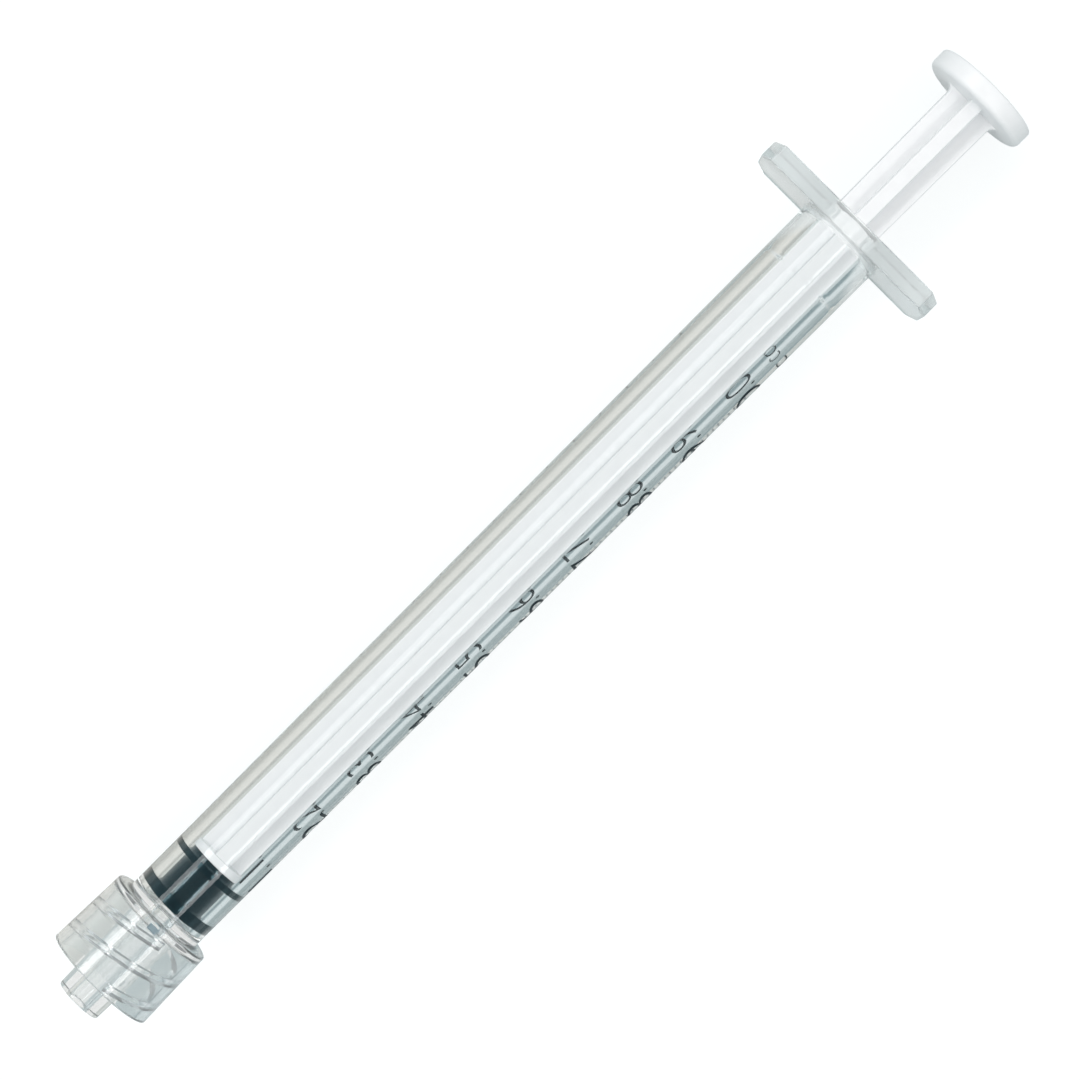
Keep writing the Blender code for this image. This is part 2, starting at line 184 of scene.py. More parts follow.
def added(operator, name, **settings):
    """Add a primitive with nothing else selected, and name it."""
    bpy.ops.object.select_all(action="DESELECT")
    operator(**settings)
    piece = bpy.context.active_object
    piece.name = name
    piece.data.name = name
    return piece


def edited(piece):
    """Go into edit mode on a piece with all of it selected."""
    alone(piece)
    bpy.ops.object.mode_set(mode="EDIT")
    bpy.ops.mesh.select_mode(type="VERT")
    bpy.ops.mesh.select_all(action="SELECT")


def picked(piece, test):
    """In edit mode, select the vertices whose place passes the test."""
    bpy.ops.mesh.select_all(action="DESELECT")
    bpy.ops.object.mode_set(mode="OBJECT")
    for vertex in piece.data.vertices:
        vertex.select = test(vertex.co)
    bpy.ops.object.mode_set(mode="EDIT")


def welded(piece):
    """In edit mode, close seams and poles, and turn all faces outwards."""
    bpy.ops.mesh.select_all(action="SELECT")
    bpy.ops.mesh.remove_doubles(threshold=WELD)
    bpy.ops.mesh.normals_make_consistent(inside=False)


def drawn(name, points):
    """Extrude one vertex along points (radius, height) in the plane Y = 0, and stay in edit mode."""
    piece = added(bpy.ops.mesh.primitive_plane_add, name, size=MM)
    edited(piece)
    bpy.ops.mesh.merge(type="CENTER")
    bpy.ops.transform.translate(value=(points[0][0], 0.0, points[0][1]))
    for (radius, height), (next_radius, next_height) in zip(points, points[1:]):
        step = (next_radius - radius, 0.0, next_height - height)
        bpy.ops.mesh.extrude_vertices_move(TRANSFORM_OT_translate={"value": step})
    return piece


def spun(name, points, steps=ROUND_STEPS):
    """Turn a profile of (radius, height) points, from the axis round to the axis, about Z."""
    piece = drawn(name, points)
    bpy.ops.mesh.select_all(action="SELECT")
    bpy.ops.mesh.spin(steps=steps, angle=2.0 * math.pi, center=(0.0, 0.0, 0.0), axis=(0.0, 0.0, 1.0))
    welded(piece)
    bpy.ops.object.mode_set(mode="OBJECT")
    return piece


def slab(name, points, thickness):
    """A flat plate with an outline of (x, z) points, centred on the plane Y = 0."""
    piece = drawn(name, points)
    bpy.ops.mesh.select_all(action="SELECT")
    bpy.ops.mesh.edge_face_add()
    bpy.ops.transform.translate(value=(0.0, -thickness / 2.0, 0.0))
    bpy.ops.mesh.extrude_region_move(TRANSFORM_OT_translate={"value": (0.0, thickness, 0.0)})
    welded(piece)
    bpy.ops.object.mode_set(mode="OBJECT")
    return piece


def corner(centre, radius, start, end, steps=5):
    """Points of a rounded corner of a profile. Angles in degrees count from the radial direction."""
    points = []
    for step in range(steps + 1):
        turn = math.radians(start + (end - start) * step / steps)
        points.append((centre[0] + radius * math.cos(turn), centre[1] + radius * math.sin(turn)))
    return points


def modified(piece, kind, **settings):
    """Add a modifier of this kind to a piece and apply it."""
    alone(piece)
    modifier = piece.modifiers.new(kind.title(), kind)
    for name, value in settings.items():
        setattr(modifier, name, value)
    bpy.ops.object.modifier_apply(modifier=modifier.name)
    return piece


def combined(piece, tool, operation):
    """Join a tool to a piece or cut it away, and remove the tool."""
    modified(piece, "BOOLEAN", object=tool, operation=operation, solver="EXACT")
    bpy.data.objects.remove(tool, do_unlink=True)
    return piece


def softened(piece, width, segments=3):
    """Round the sharp edges of a piece."""
    settings = {"width": width, "segments": segments}
    return modified(piece, "BEVEL", limit_method="ANGLE", angle_limit=SHARP, **settings)


def smooth(piece):
    """Shade a piece smooth between its sharp edges, with its flat faces kept flat."""
    alone(piece)
    bpy.ops.object.shade_smooth_by_angle(angle=SHARP)
    return modified(piece, "WEIGHTED_NORMAL", keep_sharp=True, weight=80)


def turned_and_moved(piece, matrix):
    """Place a piece with a matrix and put that place into its mesh."""
    piece.matrix_world = matrix
    alone(piece)
    bpy.ops.object.transform_apply(location=True, rotation=True, scale=True)
    return piece


def finished(piece, material, body, slot, *nodes):
    """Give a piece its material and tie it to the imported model."""
    piece.data.materials.clear()
    piece.data.materials.append(material)
    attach(piece, body)
    if nodes:
        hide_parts(*nodes)


# ---- Places along the syringe, counted from the end of the luer tip ----


def barrel_places(sizes):
    """Heights of the barrel's main faces."""
    socket_floor = sizes.tip_projection + sizes.socket_depth
    bore_floor = socket_floor + sizes.nose_wall
    mouth = bore_floor + sizes.bore_length
    return BarrelPlaces(
        collar_back=sizes.tip_projection + sizes.collar_length,
        socket_floor=socket_floor,
        bore_floor=bore_floor,
        mouth=mouth,
        underside=mouth - sizes.flange_thickness,
    )


def gasket_front(scene):
    """Height of the gasket's front face."""
    return barrel_places(scene.barrel_sizes).bore_floor + scene.plunger_sizes.gasket_gap


def plate_front(scene):
    """Height of the front face of the plunger's plate."""
    return gasket_front(scene) + scene.plunger_sizes.gasket_length + PLATE_GAP


def laid_down():
    """Turn and place of the upright syringe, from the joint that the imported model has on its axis."""
    slide, spin = frame["joints"]
    along = Vector(slide["axis"]).normalized()
    tip = Vector(spin["pos_m"]) - along * plate_front(bpy.context.scene)
    turn = math.atan2(along.x, along.z)
    return Matrix.Translation(tip) @ Matrix.Rotation(turn, 4, "Y")


# ---- Materials ----


def add_node(tree, kind, inputs=None, **settings):
    """Add a node with its settings. Each input is given a value, or the socket that feeds it."""
    node = tree.nodes.new(kind)
    for name, value in settings.items():
        setattr(node, name, value)
    for name, value in (inputs or {}).items():
        if isinstance(value, bpy.types.NodeSocket):
            tree.links.new(value, node.inputs[name])
        else:
            node.inputs[name].default_value = value
    return node


def new_material(name):
    """An empty node material, with its tree and its output node."""
    material = bpy.data.materials.new(name)
    material.use_nodes = True
    tree = material.node_tree
    tree.nodes.clear()
    return material, tree, add_node(tree, "ShaderNodeOutputMaterial")


def grain(tree, size):
    """Soft unevenness of the given size in metres, from 0 to 1, on the piece's own coordinates."""
    place = add_node(tree, "ShaderNodeTexCoord").outputs["Object"]
    inputs = {"Vector": place, "Scale": 1.0 / size, "Detail": 2.0}
    return add_node(tree, "ShaderNodeTexNoise", inputs).outputs["Fac"]


def at_gate(tree, place):
    """One on the floor and sides of the gate mark, and nothing elsewhere."""
    lie = laid_down()
    radius = bpy.context.scene.barrel_sizes.collar_back_diameter / 2.0
    middle = lie @ Vector((-radius, GATE_ACROSS, GATE_HEIGHT))
    inputs = {0: place, 1: tuple(middle)}
    reach = add_node(tree, "ShaderNodeVectorMath", inputs, operation="DISTANCE").outputs["Value"]
    near = add_node(tree, "ShaderNodeMath", {0: reach, 1: GATE_REACH}, operation="LESS_THAN").outputs[0]
    upwards = lie.to_3x3() @ Vector((-1.0, 0.0, 0.0))
    inputs = {0: place, 1: tuple(upwards)}
    height = add_node(tree, "ShaderNodeVectorMath", inputs, operation="DOT_PRODUCT").outputs["Value"]
    limit = lie.translation.dot(upwards) + radius - GATE_SKIN
    sunk = add_node(tree, "ShaderNodeMath", {0: height, 1: limit}, operation="LESS_THAN").outputs[0]
    return add_node(tree, "ShaderNodeMath", {0: near, 1: sunk}, operation="MULTIPLY").outputs[0]


# Share of the light that each part of the barrel lets straight through. The rest is haze.
COLLAR_CLEARNESS = 0.89
TUBE_CLEARNESS = 0.985
FLANGE_CLEARNESS = 0.7
GATE_CLEARNESS = 0.25
COLLAR_FADE = 0.3 * MM
FLANGE_FADE = 0.5 * MM
# Roughness of polished moulding, at its smoothest and least smooth, and of the frosted gate mark.
POLISH = (0.02, 0.05)
FROST_ROUGHNESS = 0.5
FLOW_SIZE = 0.9 * MM
POLYPROPYLENE_IOR = 1.49


def clear_plastic():
    """Clarified polypropylene, injection moulded against polished steel."""
    # Glossy, with a faint cool tint and a gloss that varies very slightly with the melt's flow.
    # The thick collar and the flange are hazier than the tube, and the gate mark is frosted.
    scene = bpy.context.scene
    material, tree, output = new_material("clarified_polypropylene")
    place = add_node(tree, "ShaderNodeTexCoord").outputs["Object"]
    gate = at_gate(tree, place)
    along = Vector(frame["joints"][0]["axis"])
    inputs = {0: place, 1: tuple(along)}
    reach = add_node(tree, "ShaderNodeVectorMath", inputs, operation="DOT_PRODUCT").outputs["Value"]
    tip = laid_down().translation.dot(along)
    places = barrel_places(scene.barrel_sizes)
    back = tip + places.collar_back
    flange = tip + places.underside
    inputs = {"Value": reach, "From Min": back, "From Max": back + COLLAR_FADE}
    inputs |= {"To Min": COLLAR_CLEARNESS, "To Max": TUBE_CLEARNESS}
    collar_clearness = add_node(tree, "ShaderNodeMapRange", inputs).outputs[0]
    inputs = {"Value": reach, "From Min": flange - FLANGE_FADE, "From Max": flange}
    inputs |= {"To Min": 1.0, "To Max": FLANGE_CLEARNESS}
    flange_clearness = add_node(tree, "ShaderNodeMapRange", inputs).outputs[0]
    inputs = {0: collar_clearness, 1: flange_clearness}
    clearness = add_node(tree, "ShaderNodeMath", inputs, operation="MINIMUM").outputs[0]
    inputs = {0: gate, 2: clearness, 3: GATE_CLEARNESS}
    clearness = add_node(tree, "ShaderNodeMix", inputs, data_type="FLOAT").outputs[0]
    colours = scene.syringe_colours
    inputs = {0: gate, 6: (*colours.clear, 1.0), 7: (*colours.frost, 1.0)}
    tint = add_node(tree, "ShaderNodeMix", inputs, data_type="RGBA").outputs[2]
    inputs = {"Value": grain(tree, FLOW_SIZE), "To Min": POLISH[0], "To Max": POLISH[1]}
    gloss = add_node(tree, "ShaderNodeMapRange", inputs).outputs[0]
    inputs = {0: gate, 2: gloss, 3: FROST_ROUGHNESS}
    gloss = add_node(tree, "ShaderNodeMix", inputs, data_type="FLOAT").outputs[0]
    inputs = {"Base Color": tint, "Roughness": gloss, "Transmission Weight": clearness}
    inputs |= {"IOR": POLYPROPYLENE_IOR}
    shader = add_node(tree, "ShaderNodeBsdfPrincipled", inputs)
    # Lamps reach the plunger through the barrel in a straight line, as through real thin plastic.
    path = add_node(tree, "ShaderNodeLightPath").outputs
    inputs = {0: path["Is Shadow Ray"], 1: path["Is Diffuse Ray"]}
    passing = add_node(tree, "ShaderNodeMath", inputs, operation="MAXIMUM").outputs[0]
    through = add_node(tree, "ShaderNodeBsdfTransparent", {"Color": (*linear("FDFDFD"), 1.0)})
    inputs = {0: passing, 1: shader.outputs[0], 2: through.outputs[0]}
    mixed = add_node(tree, "ShaderNodeMixShader", inputs)
    tree.links.new(mixed.outputs[0], output.inputs["Surface"])
    return material


# Brightness of the grain's darkest places, and how far its roughness strays to either side.
GRAIN_SHADE = 0.94
GRAIN_GLOSS = 0.04
# How far light wanders inside the white plastic.
PIGMENT_DEPTH = 0.3 * MM


def opaque(name, tint, roughness, ior, size, depth, subsurface=0.0, gleam="FFFFFF", shine=0.5):
    """An opaque moulded material with a fine grain of this size and depth, in metres."""
    material, tree, output = new_material(name)
    uneven = grain(tree, size)
    inputs = {"Height": uneven, "Distance": depth, "Strength": 1.0}
    normal = add_node(tree, "ShaderNodeBump", inputs).outputs["Normal"]
    inputs = {0: uneven, 6: (*(v * GRAIN_SHADE for v in tint), 1.0), 7: (*tint, 1.0)}
    mixed = add_node(tree, "ShaderNodeMix", inputs, data_type="RGBA").outputs[2]
    inputs = {"Value": uneven, "To Min": roughness - GRAIN_GLOSS, "To Max": roughness + GRAIN_GLOSS}
    spread = add_node(tree, "ShaderNodeMapRange", inputs).outputs[0]
    inputs = {"Base Color": mixed, "Roughness": spread, "IOR": ior, "Normal": normal}
    inputs |= {"Subsurface Weight": subsurface, "Subsurface Radius": (1.0, 1.0, 1.0)}
    inputs |= {"Subsurface Scale": PIGMENT_DEPTH, "Specular IOR Level": shine}
    inputs |= {"Specular Tint": (*linear(gleam), 1.0)}
    shader = add_node(tree, "ShaderNodeBsdfPrincipled", inputs)
    tree.links.new(shader.outputs[0], output.inputs["Surface"])
    return material


# ---- Operators, one for each moulding ----


def barrel_outline(sizes):
    """Profile of the barrel's outside, from the mouth down to the end of the luer cone."""
    places = barrel_places(sizes)
    tube = sizes.tube_diameter / 2.0
    nose = sizes.nose_diameter / 2.0
    rim = sizes.tip_projection
    rim_radius = sizes.collar_rim_diameter / 2.0
    back = places.collar_back
    back_radius = sizes.collar_back_diameter / 2.0
    socket = sizes.socket_diameter / 2.0
    floor = places.socket_floor
    tip = sizes.tip_diameter / 2.0
    cone_foot = tip + sizes.tip_taper / 2.0 * floor
    flange_fillet = 0.4 * MM
    nose_fillet = 0.3 * MM
    collar_edge = 0.2 * MM
    rim_edge = 0.1 * MM
    floor_edge = 0.15 * MM
    tip_edge = 0.12 * MM
    top = places.underside + 0.05 * MM
    middle = places.underside + sizes.flange_thickness / 2.0
    points = [(0.0, middle), (tube + flange_fillet, middle)]
    points += corner((tube + flange_fillet, top - flange_fillet), flange_fillet, 90.0, 180.0)
    points += corner((nose + nose_fillet, back + nose_fillet), nose_fillet, 180.0, 270.0)
    points += corner((back_radius - collar_edge, back - collar_edge), collar_edge, 90.0, 2.0)
    points += corner((rim_radius - rim_edge, rim + rim_edge), rim_edge, 0.0, -90.0, 4)
    points += corner((socket + rim_edge, rim + rim_edge), rim_edge, -90.0, -180.0, 4)
    points += corner((socket - floor_edge, floor - floor_edge), floor_edge, 0.0, 90.0, 4)
    points += corner((cone_foot + rim_edge, floor - rim_edge), rim_edge, 90.0, 180.0, 4)
    points += corner((tip - tip_edge, tip_edge), tip_edge, 0.0, -90.0, 4)
    return points + [(0.0, 0.0)]


def bore_outline(sizes):
    """Profile of all that is hollow: mouth, retaining bead, bore and the passage through the cone."""
    places = barrel_places(sizes)
    bore = sizes.bore_diameter / 2.0
    passage = sizes.passage_diameter / 2.0
    over = 0.5 * MM
    lead_in = 0.4 * MM
    floor_edge = 0.15 * MM
    bead = places.mouth - 5.9 * MM
    # Half of the bead's section, from its crest to where it leaves the wall.
    bead_side = [(bore - 0.1 * MM, 0.0), (bore - 0.07 * MM, 0.18 * MM), (bore, 0.4 * MM)]
    points = [(0.0, places.mouth + over), (bore + lead_in + over, places.mouth + over)]
    points += corner((bore + lead_in, places.mouth - lead_in), lead_in, 90.0, 180.0)
    points += [(radius, bead + height) for radius, height in reversed(bead_side)]
    points += [(radius, bead - height) for radius, height in bead_side[1:]]
    points += corner((bore - floor_edge, places.bore_floor + floor_edge), floor_edge, 0.0, -90.0, 4)
    return points + [(passage, places.bore_floor), (passage, -over), (0.0, -over)]


def flange_form(sizes):
    """Finger flange: a long octagon with softened edges."""
    middle = barrel_places(sizes).underside + sizes.flange_thickness / 2.0
    half_depth = sizes.flange_depth / 2.0
    half_end = sizes.flange_end / 2.0
    flat = sizes.flange_flat / 2.0
    end = sizes.flange_length / 2.0
    settings = {"size": 1.0, "location": (0.0, 0.0, middle)}
    flange = added(bpy.ops.mesh.primitive_cube_add, "flange_form", **settings)
    edited(flange)
    bpy.ops.transform.resize(value=(sizes.flange_depth, sizes.flange_length, sizes.flange_thickness))
    for side in (1.0, -1.0):
        for way in (1.0, -1.0):
            bpy.ops.mesh.select_all(action="SELECT")
            bpy.ops.mesh.bisect(
                plane_co=(side * half_depth, way * flat, middle),
                plane_no=(side * (end - flat), way * (half_depth - half_end), 0.0),
                use_fill=True,
                clear_outer=True,
                threshold=WELD,
            )
    welded(flange)
    bpy.ops.object.mode_set(mode="OBJECT")
    return softened(flange, FLANGE_EDGE, 4)


def thread_ridge(sizes, number):
    """One ridge of the collar's thread, wound up a helix."""
    socket = sizes.socket_diameter / 2.0
    crest = sizes.thread_crest_diameter / 2.0
    inset = 0.52 * MM
    root = 0.4 * MM
    narrow = 0.2 * MM
    sunk = 0.2 * MM
    edge = 0.06 * MM
    first_turn = 190.0
    climb = sizes.socket_depth - 2.0 * inset
    start = sizes.tip_projection + inset
    points = [(socket + sunk, start + root), (socket, start + root)]
    points += corner((crest + edge, start + narrow - edge), edge, 120.0, 180.0, 3)
    points += corner((crest + edge, start - narrow + edge), edge, 180.0, 240.0, 3)
    points += [(socket, start - root), (socket + sunk, start - root)]
    ridge = drawn(f"thread_ridge_{number}", points)
    picked(ridge, lambda place: place.x > socket + sunk / 2.0)
    bpy.ops.mesh.edge_face_add()
    bpy.ops.object.mode_set(mode="OBJECT")
    turn = 2.0 * math.pi * climb / sizes.thread_lead
    steps = round(ROUND_STEPS * climb / sizes.thread_lead)
    settings = {"angle": turn, "screw_offset": climb, "steps": steps, "render_steps": steps}
    modified(ridge, "SCREW", axis="Z", use_merge_vertices=False, **settings)
    edited(ridge)
    bpy.ops.mesh.remove_doubles(threshold=WELD)
    bpy.ops.mesh.fill_holes(sides=0)
    welded(ridge)
    bpy.ops.object.mode_set(mode="OBJECT")
    first = math.radians(first_turn) + math.pi * number
    return turned_and_moved(ridge, Matrix.Rotation(first, 4, "Z"))


def gate_mark(sizes):
    """Cutter for the small flat that the mould's gate leaves on the collar, on the upper side."""
    height = 0.5 * MM
    wide = 1.26 * MM
    narrow = 0.42 * MM
    length_share = 0.6
    settings = {"vertices": 4, "radius1": narrow, "radius2": wide, "depth": height}
    mark = added(bpy.ops.mesh.primitive_cone_add, "gate_mark", **settings)
    flat = sizes.collar_back_diameter / 2.0 - GATE_DEPTH
    turned_and_moved(mark, Matrix.Rotation(math.pi / 4.0, 4, "Z"))
    shape = Matrix.Diagonal((length_share, 1.0, 1.0, 1.0))
    outwards = Matrix.Rotation(-math.pi / 2.0, 4, "Y")
    place = Matrix.Translation((-flat - height / 2.0, GATE_ACROSS, GATE_HEIGHT))
    return turned_and_moved(mark, place @ outwards @ shape)


class SYRINGE_OT_add_barrel(bpy.types.Operator):
    """Model the clear barrel with its luer tip, collar, thread and finger flange"""

    bl_idname = "syringe.add_barrel"
    bl_label = "Barrel"

    def execute(self, context):
        sizes = context.scene.barrel_sizes
        barrel = spun("barrel_moulding", barrel_outline(sizes))
        combined(barrel, flange_form(sizes), "UNION")
        for number in range(2):
            combined(barrel, thread_ridge(sizes, number), "UNION")
        combined(barrel, spun("bore_form", bore_outline(sizes)), "DIFFERENCE")
        combined(barrel, gate_mark(sizes), "DIFFERENCE")
        edited(barrel)
        welded(barrel)
        bpy.ops.object.mode_set(mode="OBJECT")
        turned_and_moved(barrel, laid_down())
        smooth(barrel)
        finished(barrel, clear_plastic(), "barrel", "clear_plastic", "barrel")
        return {"FINISHED"}


def stud_outline(room):
    """Half section of the plunger's stud from its tip up to the plate, with this much room round it."""
    tip = 0.55 * MM + room
    head = 1.25 * MM + room
    neck = 0.85 * MM + room
    under_head = -1.4 * MM + room
    points = [(0.0, -3.0 * MM), (tip, -3.0 * MM), (head, -1.8 * MM)]
    return points + [(head, under_head), (neck, under_head), (neck, 0.0)]


def gasket_outline(sizes, bore):
    """Profile of the gasket above its front face, with the hollow for the plunger's stud."""
    rib = bore + RIB_PRESS
    body = sizes.gasket_body_diameter / 2.0
    edge = 0.12 * MM
    rib_edge = 0.06 * MM
    back = sizes.gasket_length
    front_back = sizes.front_rib
    rear_back = back - 0.43 * MM
    rear_front = rear_back - sizes.rear_rib
    points = [(radius, back + height) for radius, height in stud_outline(STUD_ROOM)]
    points += corner((body - edge, back - edge), edge, 90.0, 0.0, 4)
    points += [(body, rear_back + edge)]
    points += corner((rib - rib_edge, rear_back - rib_edge), rib_edge, 70.0, 0.0, 3)
    points += corner((rib - rib_edge, rear_front + rib_edge), rib_edge, 0.0, -70.0, 3)
    points += [(body, rear_front - edge), (body, front_back + edge)]
    points += corner((rib - rib_edge, front_back - rib_edge), rib_edge, 70.0, 0.0, 3)
    points += corner((rib - edge, edge), edge, 0.0, -90.0, 4)
    return points + [(0.0, 0.0)]


class SYRINGE_OT_add_gasket(bpy.types.Operator):
    """Model the rubber gasket, whose ribs press on the wall of the bore"""

    bl_idname = "syringe.add_gasket"
    bl_label = "Gasket"

    def execute(self, context):
        scene = context.scene
        bore = scene.barrel_sizes.bore_diameter / 2.0
        outline = gasket_outline(scene.plunger_sizes, bore)
        gasket = spun("gasket_moulding", outline, SMALL_ROUND_STEPS)
        place = laid_down() @ Matrix.Translation((0.0, 0.0, gasket_front(scene)))
        turned_and_moved(gasket, place)
        smooth(gasket)
        # Bromobutyl rubber: blue-black, with the satin film of silicone oil that lets it slide.
        tint = tuple(scene.syringe_colours.rubber)
        finish = {"roughness": 0.12, "ior": 1.52, "size": 0.25 * MM, "depth": 0.0002 * MM}
        rubber = opaque("bromobutyl_rubber", tint, **finish, gleam="B4DEE8", shine=0.72)
        finished(gasket, rubber, "gasket", "black_rubber", "gasket")
        return {"FINISHED"}


def rod_rib(sizes, number):
    """One rib of the rod, right through the axis, with a fillet under the thumb disc."""
    overlap = 0.3 * MM
    fillet = 0.6 * MM
    edge = 0.22 * MM
    # The rod hardly widens inside the barrel, and then more up to the disc.
    rear_stretch = 12.94 * MM
    widening = 0.035 * MM
    front = sizes.plate_thickness - overlap
    back = sizes.plate_thickness + sizes.rod_length
    narrow = sizes.rod_front / 2.0
    wide = sizes.rod_back / 2.0
    side = [(narrow, front), (narrow + widening, back - rear_stretch), (wide, back - fillet)]
    side += corner((wide + fillet, back - fillet), fillet, 180.0, 90.0)[1:]
    side += [(wide + fillet, back + overlap)]
    points = side + [(-x, y) for x, y in reversed(side)]
    rib = slab(f"rod_rib_{number}", points, sizes.rib_thickness)
    softened(rib, edge, 4)
    return turned_and_moved(rib, Matrix.Rotation(math.pi / 2.0 * number, 4, "Z"))


def plate_outline(sizes, bore):
    """Profile of the front plate with its stud, from the plate's back to the stud's tip."""
    edge = 0.1 * MM
    radius = bore - PLATE_CLEARANCE
    points = [(0.0, sizes.plate_thickness)]
    points += corner((radius - edge, sizes.plate_thickness - edge), edge, 90.0, 0.0, 4)
    points += corner((radius - edge, edge), edge, 0.0, -90.0, 4)
    return points + stud_outline(0.0)[::-1]


def disc_outline(sizes):
    """Profile of the thumb disc, from its top to its rounded underside."""
    under = sizes.plate_thickness + sizes.rod_length
    top = under + sizes.disc_thickness
    radius = sizes.disc_diameter / 2.0
    top_edge = 0.2 * MM
    under_edge = 0.5 * MM
    points = [(0.0, top)] + corner((radius - top_edge, top - top_edge), top_edge, 90.0, 0.0)
    points += corner((radius - under_edge, under + under_edge), under_edge, 0.0, -90.0)
    return points + [(0.0, under)]


class SYRINGE_OT_add_plunger(bpy.types.Operator):
    """Model the white plunger: stud, front plate, cross-shaped rod and thumb disc"""

    bl_idname = "syringe.add_plunger"
    bl_label = "Plunger"

    def execute(self, context):
        scene = context.scene
        sizes = scene.plunger_sizes
        bore = scene.barrel_sizes.bore_diameter / 2.0
        plunger = spun("plunger_moulding", plate_outline(sizes, bore), SMALL_ROUND_STEPS)
        for number in range(2):
            combined(plunger, rod_rib(sizes, number), "UNION")
        combined(plunger, spun("thumb_disc", disc_outline(sizes), SMALL_ROUND_STEPS), "UNION")
        edited(plunger)
        welded(plunger)
        bpy.ops.object.mode_set(mode="OBJECT")
        height = Matrix.Translation((0.0, 0.0, plate_front(scene)))
        turn = Matrix.Rotation(math.radians(PLUNGER_TURN), 4, "Z")
        turned_and_moved(plunger, laid_down() @ height @ turn)
        smooth(plunger)
        # Polypropylene with white pigment: satin, slightly translucent at its thin edges.
        tint = tuple(scene.syringe_colours.white)
        finish = {"roughness": 0.34, "ior": POLYPROPYLENE_IOR, "size": 0.8 * MM, "depth": 0.004 * MM}
        white = opaque("white_polypropylene", tint, **finish, subsurface=0.15)
        finished(plunger, white, "plunger", "white_plastic", "plunger")
        return {"FINISHED"}


# ---- Printed scale ----

# The flat print lies in the plane Y = 0. X runs along the syringe and Z round it, up from the line
# that faces -Y. Text reads upwards, with its head towards the luer tip.
UPRIGHT_TEXT = Matrix(((0, -1, 0, 0), (0, 0, -1, 0), (1, 0, 0, 0), (0, 0, 0, 1)))


# Angles round the barrel are degrees from the top. The numerals follow the widening tube.
NUMERAL_ANGLE = 54.5
NUMERAL_DRIFT = 0.45
NUMERAL_WIDTH = 1.52
UNIT_ANGLE = 63.0
UNIT_PLACE = 107.4
UNIT_HEIGHT = 1.9 * MM
UNIT_WIDTH = 1.5
LINES_ANGLE = 158.0
# Rows of lines: how many divisions apart, how many lines, and their reach in degrees.
LINE_ROWS = ((1, 101, 20.0), (5, 21, 28.0), (10, 11, 38.0))
CAPITAL_SHARE = 0.72
STROKE_TRIM = 0.045 * MM
BEND_STEP = 4.0
PRINT_STANDOFF = 0.1 * MM
INK_LIFT = 0.004 * MM


def print_radius(scene):
    """Radius on which the flat print is bent, just outside the middle of the tube."""
    sizes = scene.barrel_sizes
    return (sizes.nose_diameter + sizes.tube_diameter) / 4.0 + PRINT_STANDOFF


def round_place(radius, angle):
    """Distance along the flat print of a place at this angle from the top, in degrees."""
    return radius * math.radians(90.0 - angle)


def numeral(text, along, across, height, width):
    """A printed text, whose foot and right edge are at the given place on the flat print."""
    place = Matrix.Translation((along, 0.0, across)) @ UPRIGHT_TEXT
    label = added(bpy.ops.object.text_add, "numeral")
    label.data.body = text
    label.data.size = height / CAPITAL_SHARE
    label.data.align_x = "RIGHT"
    label.data.resolution_u = 6
    label.data.offset = -STROKE_TRIM
    bpy.ops.object.convert(target="MESH")
    label = bpy.context.active_object
    edited(label)
    bpy.ops.transform.resize(value=(width, 1.0, 1.0), center_override=(0.0, 0.0, 0.0))
    bpy.ops.mesh.dissolve_limited(angle_limit=math.radians(1.0))
    bpy.ops.object.mode_set(mode="OBJECT")
    return turned_and_moved(label, place)


def scale_lines(sizes, radius):
    """The lines of the scale, in three lengths, as flat strips."""
    start = round_place(radius, LINES_ANGLE)
    strips = []
    for every, count, arc in LINE_ROWS:
        strip = added(bpy.ops.mesh.primitive_plane_add, f"lines_{every}", size=1.0)
        reach = radius * math.radians(arc)
        size = Matrix.Diagonal((sizes.line_width, reach, 1.0, 1.0))
        stand = Matrix.Rotation(math.pi / 2.0, 4, "X")
        place = Matrix.Translation((sizes.zero_place, 0.0, start - reach / 2.0))
        turned_and_moved(strip, place @ stand @ size)
        settings = {"use_relative_offset": False, "use_constant_offset": True, "count": count}
        settings["constant_offset_displace"] = (sizes.division * every, 0.0, 0.0)
        strips.append(modified(strip, "ARRAY", **settings))
    return strips


